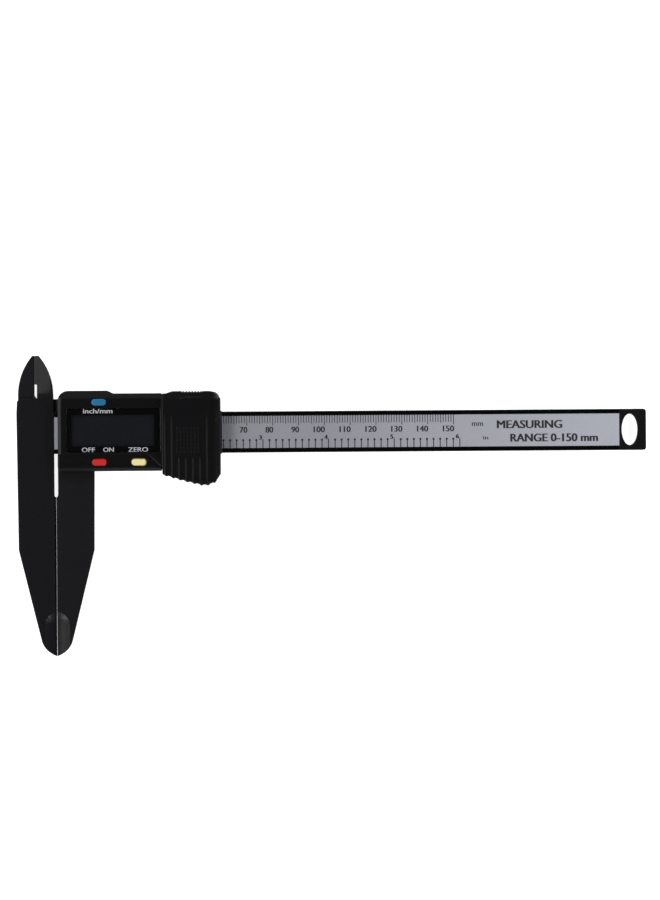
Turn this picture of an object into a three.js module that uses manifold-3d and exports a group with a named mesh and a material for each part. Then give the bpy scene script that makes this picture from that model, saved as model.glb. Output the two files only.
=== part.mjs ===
// Long-jaw digital caliper, 150 mm travel, moulded in black fibre-filled plastic.
//
// The caliper lies on its back with the display up. Everything is drawn in a design frame and one group
// then moves it so that the origin is the bottom centre of the closed caliper's bounding box.
// Design frame, in millimetres: X = 0 is the plane where the closed jaws meet, +X runs along the beam to
// its free end; Y = 0 is the beam's centreline, +Y towards the inside jaws; Z = 0 is the slider's back.

import * as THREE from "three";
import { mergeVertices } from "three/addons/utils/BufferGeometryUtils.js";
import Module from "manifold-3d";

// ---------------------------------------------------------------- driving dimensions
const TRAVEL = 150;
const RUNNING_GAP = 0.15; // between pieces that slide on each other
const FIT_GAP = 0.1; // between pieces that are only assembled

// beam and jaws
const BEAM_HALF = 8; // half the beam's 16 mm width
const BEAM_BACK = 2;
const BEAM_FRONT = 5.6;
const BEAM_END = 228.4;
const JAW_GAP = 0.05; // each measuring face stands this far from the closing plane
const FIXED_JAW_WIDTH = 15.28; // at the root
const MOVING_JAW_WIDTH = 14.92;
const JAW_WIDTH = 14.67; // where the taper starts
const JAW_TAPER_Y = -45.2;
const JAW_TAPER_SLOPE = 0.247;
const JAW_ROUND_Y = -80;
const JAW_TIP_Y = -86.3;
const JAW_RELIEF_Y = -24; // the relief slot between the jaw roots ends here
const RELIEF_HALF = 0.7;

// crossed inside jaws (nibs)
const NIB_SPLIT_Z = 3.85; // the fixed nib is in front of this level, the moving nib behind it
const NIB_LINE_X = -8.15;
const NIB_CENTRE_X = -7.76;
const NIB_HALF_WIDTH = 6.87;
const NIB_ARC_RADIUS = 23.6;
const NIB_ARC_Y = 14.85;
const NIB_TOP_Y = 30.1;
const NIB_RELIEF_TOP_Y = 18.9;
const NIB_RELIEF_WIDTH = 0.9; // of the notch between the nibs
const BRIDGE_LOW_Y = BEAM_HALF + RUNNING_GAP;
const BRIDGE_TOP_Y = 13.25;

// printed scale in the beam's front
const LABEL_HALF = 6.2;
const LABEL_START = -0.7;
const LABEL_END = 218;
const LABEL_RECESS_Z = 4.6;
const HANG_HOLE = { x: 222, rx: 3.03, ry: 6.05 };

// slider
const FRAME_START = 0.6;
const TONGUE_START = -1; // the back plate reaches this far behind the fixed jaw's root
const FRAME_TOP_Y = 15.9;
const FRAME_LOW_Y = -14.2;
const FRAME_CORNER = 3.1; // chamfer at the frame's upper left
const FRAME_FRONT = 5.8;
const FLOOR_TOP = 1.85;
const CHANNEL_HALF = BEAM_HALF + RUNNING_GAP;
const WIPER_END = 64.3;
const WIPER_HALF = 8.4;

// display housing
const HOUSING_BACK = 5.9;
const HOUSING_FRONT = 12.6;
const KEY_STRIP_Z = 11.8;
const HOUSING_START = 0.8;
const HOUSING_END = 41;
const HOUSING_LOW_Y = -14.8;
const HOUSING_TOP_Y = 15.3;
const HOUSING_BUMP_Y = 16.4;
const HOUSING_CORNER = 4; // radius of the upper left corner
const CAVITY_TOP = 10.9;
const WALL = 1.3;
const WINDOW = { x0: 4.3, x1: 40.4, y0: -7.5, y1: 9.6, z0: 11.6, z1: 12.4 };
const VIEW = { x0: 6, x1: 38.1, y0: -5.2, y1: 7 };
const KEY_STRIP_Y = -8.3;

// keys
const KEY_LENGTH = 5.6;
const KEY_WIDTH = 2.5;
const KEY_END = 1.15; // radius of a key's round ends
const KEY_SLACK = 0.25;
const KEY_PROUD = 0.65;
const KEY_TRAVEL = 0.7;
const KEYS = {
  unit: { x: 16.75, y: 11.85, face: HOUSING_FRONT, colour: 0x1f7ab3 },
  power: { x: 16.85, y: -11.3, face: KEY_STRIP_Z, colour: 0xd8322c },
  zero: { x: 32.15, y: -11.35, face: KEY_STRIP_Z, colour: 0xeedf8e },
};
const KEY_FLANGE_Z = 10.05;

// electronics
const BOARD = { x0: 2.4, x1: 40.6, y0: -12.9, y1: 13.4, z0: 6.1, z1: 7.1 };
const LCD = { x0: 5, x1: 39.2, y0: -6.6, y1: 8.4, z0: 9.2, z1: 10.7 };
const CELL = { x: 52, y: -0.3, radius: 5.8, z0: 7.75, z1: 13.1 };
const WELL_FLOOR = 7.3;
const BLOCK_TOP = 13.3; // top of the battery block under its cover
const BLOCK_END = 62.2;

// battery cover
const COVER_START = 41.2;
const COVER_START_LOW_Y = -16.45;
const COVER_END = 63.8;
const COVER_TOP_Y = 16.15;
const COVER_LOW_Y = -20.7;
const COVER_ROUND = 3; // radius of the upper right corner
const FRAME_END = COVER_END - 0.4;
const COVER_BACK = 7;
const COVER_INSIDE_TOP = 13.7;
const RIB_PITCH = 2.72;
const RIB_FIRST_X = 42.6;
const RIB_COUNT = 8;
const RIB_WIDTH = 1.35;
const RIB_HEIGHT = 0.5;

// fasteners
const CASE_SCREWS = [
  { x: 5, y: 11.3 },
  { x: 5, y: -11.2 },
  { x: 60, y: 11.3 },
  { x: 60, y: -11.2 },
];
const BOARD_SCREWS = [
  { x: 29, y: 11.4 },
  { x: 24.7, y: -11.4 },
];
const STOP_SCREW_X = FRAME_END + TRAVEL + 2.1;

// ---------------------------------------------------------------- materials
const plastic = (colour, roughness = 0.55) =>
  new THREE.MeshStandardMaterial({ color: colour, roughness, metalness: 0 });
const metal = (colour, roughness = 0.35) =>
  new THREE.MeshStandardMaterial({ color: colour, roughness, metalness: 1 });

const BLACK = plastic(0x1b1a1e);
const BLACK_GLOSS = plastic(0x0e0e11, 0.12);
const SILVER_PRINT = plastic(0xa2a3ab, 0.4);
const BOARD_GREEN = plastic(0x1d5a34, 0.45);
const RUBBER = plastic(0x3a3a3d, 0.8);
const EPOXY = plastic(0x101010, 0.3);
const LCD_GLASS = plastic(0x33363a, 0.15);
const STEEL = metal(0xb9bbbf);
const SPRING_STEEL = metal(0x9c9ea3, 0.3);
const CERAMIC = plastic(0xb79a6a, 0.5);

// ---------------------------------------------------------------- solid modelling helpers
const wasm = await Module();
wasm.setup();

// A closed three.js geometry as a manifold solid, ready to be cut or joined.
function solid(geometry) {
  const bare = geometry.clone();
  for (const name of Object.keys(bare.attributes)) {
    if (name !== "position") bare.deleteAttribute(name);
  }
  const merged = mergeVertices(bare, 1e-4);
  const mesh = new wasm.Mesh({
    numProp: 3,
    vertProperties: merged.attributes.position.array,
    triVerts: new Uint32Array(merged.index.array),
  });
  return new wasm.Manifold(mesh);
}

// A manifold solid as a three.js geometry.
function geometryOf(made) {
  const mesh = made.getMesh();
  const geometry = new THREE.BufferGeometry();
  geometry.setAttribute("position", new THREE.BufferAttribute(mesh.vertProperties.slice(), 3));
  geometry.setIndex(new THREE.BufferAttribute(mesh.triVerts.slice(), 1));
  geometry.computeVertexNormals();
  return geometry;
}

const join = (...parts) => parts.reduce((all, next) => all.add(next));
const cut = (body, ...tools) => tools.reduce((left, tool) => left.subtract(tool), body);

function box(x0, x1, y0, y1, z0, z1) {
  const geometry = new THREE.BoxGeometry(x1 - x0, y1 - y0, z1 - z0);
  geometry.translate((x0 + x1) / 2, (y0 + y1) / 2, (z0 + z1) / 2);
  return solid(geometry);
}

function post(x, y, radius, z0, z1, sides = 24) {
  const geometry = new THREE.CylinderGeometry(radius, radius, z1 - z0, sides);
  geometry.rotateX(Math.PI / 2);
  geometry.translate(x, y, (z0 + z1) / 2);
  return solid(geometry);
}

function shapeOf(points) {
  return new THREE.Shape(points.map(([a, b]) => new THREE.Vector2(a, b)));
}

// An outline in X and Y, extruded along Z.
function prism(shape, z0, z1, curveSegments = 10) {
  const options = { depth: z1 - z0, bevelEnabled: false, curveSegments };
  const geometry = new THREE.ExtrudeGeometry(shape, options);
  geometry.translate(0, 0, z0);
  return solid(geometry);
}

// An outline in Y and Z, extruded along X.
function prismX(points, x0, x1) {
  const options = { depth: x1 - x0, bevelEnabled: false };
  const geometry = new THREE.ExtrudeGeometry(shapeOf(points), options);
  const [alongY, alongZ, alongX] = [
    new THREE.Vector3(0, 1, 0),
    new THREE.Vector3(0, 0, 1),
    new THREE.Vector3(1, 0, 0),
  ];
  geometry.applyMatrix4(new THREE.Matrix4().makeBasis(alongY, alongZ, alongX));
  geometry.translate(x0, 0, 0);
  return solid(geometry);
}

// An outline in X and Z, extruded along Y from y0 to y1.
function prismY(points, y0, y1) {
  const options = { depth: y1 - y0, bevelEnabled: false };
  const geometry = new THREE.ExtrudeGeometry(shapeOf(points), options);
  geometry.rotateX(Math.PI / 2);
  geometry.translate(0, y1, 0);
  return solid(geometry);
}

// A rectangle with round corners, in X and Y.
function roundedRectangle(x0, x1, y0, y1, radius) {
  const shape = new THREE.Shape();
  shape.moveTo(x0 + radius, y0);
  shape.lineTo(x1 - radius, y0);
  shape.absarc(x1 - radius, y0 + radius, radius, -Math.PI / 2, 0);
  shape.lineTo(x1, y1 - radius);
  shape.absarc(x1 - radius, y1 - radius, radius, 0, Math.PI / 2);
  shape.lineTo(x0 + radius, y1);
  shape.absarc(x0 + radius, y1 - radius, radius, Math.PI / 2, Math.PI);
  shape.lineTo(x0, y0 + radius);
  shape.absarc(x0 + radius, y0 + radius, radius, Math.PI, 1.5 * Math.PI);
  return shape;
}

// Points round the corner at (x, y) of an anticlockwise outline, a quarter turn from the angle start.
function corner(x, y, radius, start, steps = 6) {
  const reach = radius * Math.SQRT2;
  const centreX = x - reach * Math.cos(start + Math.PI / 4);
  const centreY = y - reach * Math.sin(start + Math.PI / 4);
  return Array.from({ length: steps + 1 }, (_, i) => {
    const angle = start + (i / steps) * (Math.PI / 2);
    return [centreX + radius * Math.cos(angle), centreY + radius * Math.sin(angle)];
  });
}

// A convex outline, anticlockwise, moved inwards by a distance.
function inset(points, distance) {
  const lines = points.map(([x, y], i) => {
    const [nextX, nextY] = points[(i + 1) % points.length];
    const length = Math.hypot(nextX - x, nextY - y);
    const normal = [-(nextY - y) / length, (nextX - x) / length];
    return { normal, offset: normal[0] * x + normal[1] * y + distance };
  });
  return lines.map((line, i) => {
    const before = lines[(i + lines.length - 1) % lines.length];
    const [a, b] = before.normal;
    const [c, d] = line.normal;
    const turn = a * d - b * c;
    return [
      (before.offset * d - b * line.offset) / turn,
      (a * line.offset - before.offset * c) / turn,
    ];
  });
}

// ---------------------------------------------------------------- jaws, shared by beam and slider
// One outside jaw: side is -1 for the fixed jaw and +1 for the moving one. It reaches up to topY.
function jawOutline(side, rootWidth, topY) {
  const roundX = JAW_WIDTH + (JAW_ROUND_Y - JAW_TAPER_Y) * JAW_TAPER_SLOPE;
  const at = (x) => side * x;
  const reliefX = at(RELIEF_HALF);
  const shape = new THREE.Shape();
  shape.moveTo(reliefX, topY);
  shape.lineTo(at(rootWidth), topY);
  shape.lineTo(at(JAW_WIDTH), JAW_TAPER_Y);
  shape.lineTo(at(roundX), JAW_ROUND_Y);
  shape.quadraticCurveTo(at(roundX - 1.1), JAW_TIP_Y + 1.8, at(JAW_GAP), JAW_TIP_Y);
  shape.lineTo(at(JAW_GAP), JAW_RELIEF_Y - 0.7);
  shape.quadraticCurveTo(reliefX, JAW_RELIEF_Y - 0.6, reliefX, JAW_RELIEF_Y + 0.5);
  return shape;
}

// The ball-nosed hollows that thin both faces of the jaws towards their tips.
function tipHollows() {
  const radius = 11;
  const depth = 1.1;
  const startY = -74;
  const atLevel = (z) => {
    const ball = new THREE.SphereGeometry(radius, 48, 32);
    ball.translate(0, startY, z);
    const rod = new THREE.CylinderGeometry(radius, radius, 20, 48);
    rod.translate(0, startY - 10, z);
    return join(solid(ball), solid(rod));
  };
  return join(atLevel(BEAM_FRONT + radius - depth), atLevel(BEAM_BACK - radius + depth));
}

// Points up one side of the ogive that both nibs share, from its base to its tip.
function nibArc(side, steps = 9) {
  const centreX = NIB_CENTRE_X + side * (NIB_HALF_WIDTH - NIB_ARC_RADIUS);
  const rise = Math.asin((NIB_TOP_Y - NIB_ARC_Y) / NIB_ARC_RADIUS);
  return Array.from({ length: steps + 1 }, (_, i) => {
    const angle = (rise * i) / steps;
    const x = centreX + side * NIB_ARC_RADIUS * Math.cos(angle);
    return [x, NIB_ARC_Y + NIB_ARC_RADIUS * Math.sin(angle)];
  });
}

// A wedge that bevels a nib: it removes what lies beyond a plane through the pivot, tilted both ways.
function nibBevel(pivot, tiltX, tiltY, facing) {
  const geometry = new THREE.BoxGeometry(40, 40, 6);
  geometry.translate(0, 0, 3 * facing);
  geometry.rotateX(tiltX);
  geometry.rotateY(tiltY);
  geometry.translate(...pivot);
  const wanted = box(-20, 0, pivot[1], NIB_TOP_Y + 2, 0, BEAM_FRONT + 3);
  return solid(geometry).intersect(wanted);
}

// ---------------------------------------------------------------- fixed side
function mainBeam() {
  const bar = prism(roundedRectangle(-6, BEAM_END, -BEAM_HALF, BEAM_HALF, 1.1), BEAM_BACK, BEAM_FRONT, 4);
  const jawTop = BEAM_HALF;
  const jaw = prism(jawOutline(-1, FIXED_JAW_WIDTH, jawTop), BEAM_BACK, BEAM_FRONT);
  const rightArc = nibArc(1);
  const front = [
    [-RELIEF_HALF, jawTop - 1],
    ...rightArc,
    [NIB_LINE_X, NIB_TOP_Y],
    [NIB_LINE_X, NIB_RELIEF_TOP_Y],
    [NIB_LINE_X + NIB_RELIEF_WIDTH, NIB_RELIEF_TOP_Y],
    [NIB_LINE_X + NIB_RELIEF_WIDTH, BRIDGE_TOP_Y + 0.2],
    [NIB_LINE_X, BRIDGE_TOP_Y + 1.4],
    [NIB_LINE_X - 0.8, BRIDGE_TOP_Y + 0.2],
    [-FIXED_JAW_WIDTH + 1.1, BRIDGE_TOP_Y - 0.1],
    [-FIXED_JAW_WIDTH + 0.5, BRIDGE_TOP_Y - 0.45],
    [-FIXED_JAW_WIDTH + 0.25, BRIDGE_TOP_Y - 1.2],
    [-FIXED_JAW_WIDTH, jawTop],
  ];
  const shoulder = prism(shapeOf(front), NIB_SPLIT_Z, BEAM_FRONT);
  const hole = new THREE.Shape();
  hole.absellipse(HANG_HOLE.x, 0, HANG_HOLE.rx, HANG_HOLE.ry, 0, 2 * Math.PI);
  return cut(
    join(bar, jaw, shoulder),
    nibBevel([-2.8, 15.4, BEAM_FRONT], -0.02, -0.2, 1),
    tipHollows(),
    box(LABEL_START, LABEL_END + 0.1, -LABEL_HALF - 0.05, LABEL_HALF + 0.05, LABEL_RECESS_Z, BEAM_FRONT + 1),
    prism(hole, BEAM_BACK - 1, BEAM_FRONT + 1, 20),
    post(STOP_SCREW_X, 0, 0.95, BEAM_BACK - 1, 4.3, 16),
  );
}

function statorBoard() {
  const halfWidth = LABEL_HALF - 0.2;
  return box(LABEL_START + 0.2, LABEL_END - 0.2, -halfWidth, halfWidth, LABEL_RECESS_Z + 0.05, 5.38);
}

function scaleLabel() {
  return box(LABEL_START + 0.05, LABEL_END, -LABEL_HALF, LABEL_HALF, 5.42, 5.56);
}

// ---------------------------------------------------------------- fasteners
// A cross-recess pan-head screw pointing up: headZ is the underside of its head's crown.
function screw(x, y, headZ, headRadius, headHeight, shankRadius, tipZ) {
  const head = post(x, y, headRadius, headZ, headZ + headHeight, 20);
  const shank = post(x, y, shankRadius, headZ + headHeight - 0.1, tipZ, 12);
  const arm = headRadius * 0.62;
  const slot = headRadius * 0.14;
  return cut(
    join(head, shank),
    box(x - arm, x + arm, y - slot, y + slot, headZ - 1, headZ + 0.45),
    box(x - slot, x + slot, y - arm, y + arm, headZ - 1, headZ + 0.45),
  );
}

const caseScrew = ({ x, y }) => screw(x, y, 0.5, 1.9, 1.1, 0.95, 9.2);
const boardScrew = ({ x, y }) => screw(x, y, 5.3, 1.5, 0.7, 0.7, 9);
const stopScrew = () => screw(STOP_SCREW_X, 0, 0.9, 1.8, 1, 0.85, 4.2);

// ---------------------------------------------------------------- slider frame with the moving jaw
function coverOutline() {
  const thumbLobe = new THREE.QuadraticBezierCurve(
    new THREE.Vector2(58.4, COVER_LOW_Y),
    new THREE.Vector2(62, COVER_LOW_Y + 0.4),
    new THREE.Vector2(COVER_END, -16.4),
  );
  return [
    [COVER_START, COVER_START_LOW_Y],
    [56.2, COVER_LOW_Y],
    ...thumbLobe.getPoints(4).map(({ x, y }) => [x, y]),
    ...corner(COVER_END, COVER_TOP_Y, COVER_ROUND, 0, 4),
    [44.8, COVER_TOP_Y],
    [42.6, HOUSING_TOP_Y],
    [COVER_START, HOUSING_TOP_Y],
  ];
}

function slidingFrame() {
  const rim = inset(coverOutline(), 0.4);
  const tray = prism(
    shapeOf([
      [FRAME_START + 0.9, FRAME_LOW_Y],
      [rim[0][0], FRAME_LOW_Y],
      ...rim.slice(0, -1),
      [20.8, rim.at(-2)[1]],
      [19.4, FRAME_TOP_Y],
      [FRAME_START + FRAME_CORNER, FRAME_TOP_Y],
      [FRAME_START, FRAME_TOP_Y - FRAME_CORNER],
      [FRAME_START, FRAME_LOW_Y + 0.9],
    ]),
    0,
    FRAME_FRONT + 1,
  );
  const jaw = prism(
    jawOutline(1, MOVING_JAW_WIDTH, FRAME_LOW_Y + 3),
    BEAM_BACK,
    BEAM_FRONT,
  );
  const nib = prism(
    shapeOf([
      [NIB_CENTRE_X - NIB_HALF_WIDTH, BRIDGE_LOW_Y],
      [FRAME_START + 2, BRIDGE_LOW_Y],
      [FRAME_START + 2, BRIDGE_TOP_Y],
      [NIB_LINE_X + NIB_RELIEF_WIDTH, BRIDGE_TOP_Y],
      [NIB_LINE_X, BRIDGE_TOP_Y + 1.4],
      [NIB_LINE_X, NIB_TOP_Y],
      ...nibArc(-1)
        .reverse()
        .filter(([x]) => x < NIB_LINE_X - 0.05),
    ]),
    BEAM_BACK,
    NIB_SPLIT_Z - RUNNING_GAP,
  );
  const tongue = join(
    box(TONGUE_START, FRAME_START + 1, BRIDGE_LOW_Y - 1.6, BRIDGE_LOW_Y + 0.1, 0, FLOOR_TOP),
    box(TONGUE_START, FRAME_START + 1, BRIDGE_LOW_Y, BRIDGE_TOP_Y, 0, BEAM_BACK + 0.1),
  );
  const holes = CASE_SCREWS.flatMap(({ x, y }) => [
    post(x, y, 2.15, -1, 1.7, 24),
    post(x, y, 1.15, 1, FRAME_FRONT + 2, 16),
  ]);
  const headPockets = BOARD_SCREWS.map(({ x, y }) => post(x, y, 1.8, 4.9, FRAME_FRONT + 2, 20));
  return cut(
    join(tray, jaw, nib, tongue),
    box(-20, COVER_END + 5, -13.8, 40, FRAME_FRONT, FRAME_FRONT + 3),
    box(-20, COVER_START + 0.9, -40, -13.7, FRAME_FRONT, FRAME_FRONT + 3),
    box(FRAME_START - 1, WIPER_END + 1, -CHANNEL_HALF, CHANNEL_HALF, FLOOR_TOP, FRAME_FRONT + 2),
    tipHollows(),
    nibBevel([NIB_CENTRE_X - NIB_HALF_WIDTH, 15.2, BEAM_BACK], 0.05, -0.07, -1),
    box(13.5, 50.5, CHANNEL_HALF - 0.1, 9.1, 2.2, 5.4),
    box(9, 24.5, 10.4, 13.6, 2, FRAME_FRONT + 1),
    box(33, 55, 10.4, 13.6, 2, FRAME_FRONT + 1),
    box(16, 21, -13, -9.8, 2, FRAME_FRONT + 1),
    box(28.5, 55, -13, -9.8, 2, FRAME_FRONT + 1),
    box(47, 61, -17.6, -15, 2, FRAME_FRONT + 2),
    ...holes,
    ...headPockets,
  );
}

// A bowed strip that presses the slider against the beam's edge.
function gibSpring() {
  const [start, end, sag, thickness] = [14, 50, 0.55, 0.22];
  const steps = 12;
  const inner = Array.from({ length: steps + 1 }, (_, i) => {
    const t = i / steps;
    return [start + (end - start) * t, BEAM_HALF + 0.07 + sag * (2 * t - 1) ** 2];
  });
  const outer = inner.map(([x, y]) => [x, y + thickness]).reverse();
  return prism(shapeOf([...inner, ...outer]), 2.5, 5.1);
}

// ---------------------------------------------------------------- display housing
function housingShell() {
  const outline = shapeOf([
    [HOUSING_START + 0.7, HOUSING_LOW_Y],
    [HOUSING_END, HOUSING_LOW_Y],
    [HOUSING_END, HOUSING_TOP_Y],
    [22.3, HOUSING_TOP_Y],
    [20.1, HOUSING_BUMP_Y],
    ...corner(HOUSING_START, HOUSING_BUMP_Y, HOUSING_CORNER, Math.PI / 2),
    [HOUSING_START, HOUSING_LOW_Y + 0.7],
  ]);
  const stripStep = shapeOf([
    [-2, -20],
    [HOUSING_END + 1, -20],
    [HOUSING_END + 1, -14.2],
    [35.8, KEY_STRIP_Y],
    [-2, KEY_STRIP_Y],
  ]);
  const topChamfer = [
    [13.3, HOUSING_FRONT],
    [18, HOUSING_FRONT - 3.5],
    [18, HOUSING_FRONT + 1],
    [13.3, HOUSING_FRONT + 1],
  ];
  const lowChamfer = [
    [-13.4, KEY_STRIP_Z],
    [-13.4, KEY_STRIP_Z + 1],
    [-16, KEY_STRIP_Z + 1],
    [-16, KEY_STRIP_Z - 2.4],
  ];
  const leftChamfer = [
    [HOUSING_START - 1, HOUSING_FRONT - 2.2],
    [HOUSING_START + 1.1, HOUSING_FRONT],
    [HOUSING_START + 1.1, HOUSING_FRONT + 1],
    [HOUSING_START - 1, HOUSING_FRONT + 1],
  ];
  return cut(
    prism(outline, HOUSING_BACK, HOUSING_FRONT),
    prism(stripStep, KEY_STRIP_Z, HOUSING_FRONT + 1),
    prismX(topChamfer, -2, HOUSING_END + 1),
    prismX(lowChamfer, -2, HOUSING_END + 1),
    prismY(leftChamfer, -20, 20),
  );
}

// The block at the slider's right end that holds the cell; its side grooves carry the cover.
function batteryBlock() {
  const groove = (y0, y1) => box(HOUSING_END, COVER_END, y0, y1, 7.7, 9);
  return cut(
    box(HOUSING_END - 0.2, BLOCK_END, -13, 13.8, HOUSING_BACK, BLOCK_TOP),
    groove(-14, -12.1),
    groove(12.9, 15),
    post(CELL.x, CELL.y, CELL.radius + 0.3, WELL_FLOOR, BLOCK_TOP + 1, 40),
    box(HOUSING_END - 2, 44.9, -6.3, 6.3, HOUSING_BACK - 1, BOARD.z1 + 0.05),
    box(HOUSING_END - 2, 46.5, -1.8, 1.8, BOARD.z1, 8.2),
    box(HOUSING_END - 2, 55.5, -6.9, -6.15, BOARD.z1, BLOCK_TOP + 1),
    box(46, 58, 8.6, 11, HOUSING_BACK - 1, 11.5),
  );
}

// The strip at the slider's right end that wipes the scale.
function endWiper() {
  const outline = roundedRectangle(BLOCK_END + FIT_GAP, WIPER_END, -WIPER_HALF, WIPER_HALF, 0.6);
  return prism(outline, HOUSING_BACK, COVER_BACK - FIT_GAP, 4);
}

function displayHousing() {
  const cavity = box(HOUSING_START + WALL, 40.8, HOUSING_LOW_Y + WALL, 13.7, HOUSING_BACK - 1, CAVITY_TOP);
  const bosses = CASE_SCREWS.slice(0, 2).map(({ x, y }) => post(x, y, 2, HOUSING_BACK, CAVITY_TOP + 0.2, 20));
  const boardPosts = BOARD_SCREWS.map(({ x, y }) => post(x, y, 1.7, BOARD.z1 + 0.05, CAVITY_TOP + 0.2, 20));
  const screwHoles = CASE_SCREWS.map(({ x, y }) => post(x, y, 1, HOUSING_BACK - 1, 9.6, 16));
  const postHoles = BOARD_SCREWS.map(({ x, y }) => post(x, y, 0.75, HOUSING_BACK - 1, 9.4, 12));
  const keyHoles = Object.values(KEYS).map(({ x, y }) => {
    const [a, b] = [KEY_LENGTH / 2 + KEY_SLACK, KEY_WIDTH / 2 + KEY_SLACK];
    const hole = roundedRectangle(x - a, x + a, y - b, y + b, KEY_END + KEY_SLACK);
    return prism(hole, CAVITY_TOP - 0.5, HOUSING_FRONT + 1, 5);
  });
  const { x0, x1, y0, y1, z0 } = WINDOW;
  const windowSeat = prism(
    roundedRectangle(x0 - FIT_GAP, x1 + FIT_GAP, y0 - FIT_GAP, y1 + FIT_GAP, 0.6),
    z0 - 0.05,
    HOUSING_FRONT + 1,
    4,
  );
  const viewHole = box(VIEW.x0, VIEW.x1, VIEW.y0, VIEW.y1, CAVITY_TOP - 1, HOUSING_FRONT);
  return cut(
    join(cut(housingShell(), cavity), batteryBlock(), ...bosses, ...boardPosts),
    box(39, HOUSING_END + 0.5, -6.3, 6.3, HOUSING_BACK - 1, BOARD.z1 + 0.05),
    windowSeat,
    viewHole,
    ...keyHoles,
    ...screwHoles,
    ...postHoles,
  );
}

function displayWindow() {
  const { x0, x1, y0, y1, z0, z1 } = WINDOW;
  return prism(roundedRectangle(x0, x1, y0, y1, 0.5), z0, z1, 4);
}

// ---------------------------------------------------------------- display and electronics
function lcdPanel() {
  const { x0, x1, y0, y1, z0, z1 } = LCD;
  const frontGlass = box(x0, x1, y0 + 1.4, y1, (z0 + z1) / 2, z1);
  const rearGlass = box(x0, x1, y0, y1, z0, (z0 + z1) / 2);
  return join(frontGlass, rearGlass);
}

const ZEBRA_Y = [
  [-6.4, -4.9],
  [6.8, 8.3],
];

function lcdHolder() {
  const slot = ([y0, y1]) => box(7.8, 36.2, y0 - 0.1, y1 + 0.1, BOARD.z1 - 1, LCD.z0 + 1);
  return cut(
    box(LCD.x0 - 0.9, LCD.x1 + 0.9, LCD.y0 - 1.1, LCD.y1 + 0.8, BOARD.z1 + 0.05, LCD.z1),
    box(LCD.x0 - 0.1, LCD.x1 + 0.1, LCD.y0 - 0.1, LCD.y1 + 0.1, LCD.z0 - 0.05, LCD.z1 + 1),
    box(10, 34, -4, 5.9, BOARD.z1 - 1, LCD.z0 + 1),
    ...ZEBRA_Y.map(slot),
  );
}

const zebraStrip = ([y0, y1]) => box(8, 36, y0, y1, BOARD.z1 + 0.03, LCD.z0 - 0.03);

function mainBoard() {
  const { x0, x1, y0, y1, z0, z1 } = BOARD;
  const bossClearance = CASE_SCREWS.slice(0, 2).map(({ x, y }) => post(x, y, 2.3, z0 - 1, z1 + 1, 20));
  const screwClearance = BOARD_SCREWS.map(({ x, y }) => post(x, y, 0.9, z0 - 1, z1 + 1, 12));
  return cut(
    join(box(x0, x1, y0, y1, z0, z1), box(x1 - 1, 44.7, -6, 6, z0, z1)),
    box(x0 - 1, x0 + 2.7, 9.2, y1 + 1, z0 - 1, z1 + 1),
    box(x0 - 1, x0 + 2.7, y0 - 1, -9.1, z0 - 1, z1 + 1),
    ...bossClearance,
    ...screwClearance,
  );
}

// The epoxy drop that covers the measuring chip.
function chipDrop() {
  const [radius, height] = [3.8, 1.3];
  const profile = Array.from({ length: 7 }, (_, i) => {
    const angle = (i / 6) * (Math.PI / 2);
    return new THREE.Vector2(radius * Math.cos(angle), height * Math.sin(angle));
  });
  profile[6].x = 0;
  const geometry = new THREE.LatheGeometry([new THREE.Vector2(0, 0), ...profile], 24);
  geometry.rotateX(Math.PI / 2);
  geometry.translate(22, 1, BOARD.z1 + 0.03);
  return solid(geometry);
}

const capacitor = (x, y) => box(x - 1.6, x + 1.6, y - 0.8, y + 0.8, BOARD.z1 + 0.03, BOARD.z1 + 1.1);

// ---------------------------------------------------------------- keys
function keyCap({ x, y, face }) {
  const [a, b] = [KEY_LENGTH / 2, KEY_WIDTH / 2];
  const outline = roundedRectangle(x - a, x + a, y - b, y + b, KEY_END);
  const cap = prism(outline, CAVITY_TOP - 0.2, face + KEY_PROUD, 5);
  const flange = prism(
    roundedRectangle(x - a - 0.7, x + a + 0.7, y - b - 0.45, y + b + 0.45, 0.8),
    KEY_FLANGE_Z,
    CAVITY_TOP - 0.05,
    5,
  );
  return join(cap, flange);
}

function keyPad({ x, y }) {
  const base = prism(roundedRectangle(x - 2.4, x + 2.4, y - 1.4, y + 1.4, 0.5), BOARD.z1 + 0.03, 7.7, 3);
  return join(base, post(x, y, 1.1, 7.6, KEY_FLANGE_Z - KEY_TRAVEL - 0.1, 16));
}

// ---------------------------------------------------------------- battery
function buttonCell() {
  const { x, y, radius, z0, z1 } = CELL;
  const can = post(x, y, radius, z0 + 0.9, z1, 40);
  const cap = post(x, y, radius - 0.9, z0, z0 + 1.2, 40);
  return join(can, cap);
}

function negativeContact() {
  const leaf = [
    [42.4, 7.15],
    [44.6, 7.15],
    [45.4, 7.36],
    [56, 7.36],
    [56, 7.6],
    [45.3, 7.6],
    [44.4, 7.4],
    [42.4, 7.4],
  ];
  return prismY(leaf, -1.5, 1.5);
}

function positiveContact() {
  const blade = [
    [42.4, 7.15],
    [44.7, 7.15],
    [44.7, 7.36],
    [55.2, 7.36],
    [55.2, 12.7],
    [49.2, 12.7],
    [49.2, 8.8],
    [42.4, 8.8],
  ];
  return prismY(blade, -6.62, -6.32);
}

// The cover's outside as seen along the beam: a thumb hollow between two raised ends.
function coverProfile(distance = 0) {
  return [
    [-21, COVER_BACK],
    [17, COVER_BACK],
    [17, 11.4 - distance],
    [14.3, 15 - distance],
    [13.4, 15.3 - distance],
    [8.4, 15.3 - distance],
    [3.6, 14.75 - distance],
    [-1.5, 14.5 - distance],
    [-7, 14.5 - distance],
    [-12, 14.75 - distance],
    [-18.4, 15.3 - distance],
    [-19.6, 14.9 - distance],
    [-21, 13 - distance],
  ];
}

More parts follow.
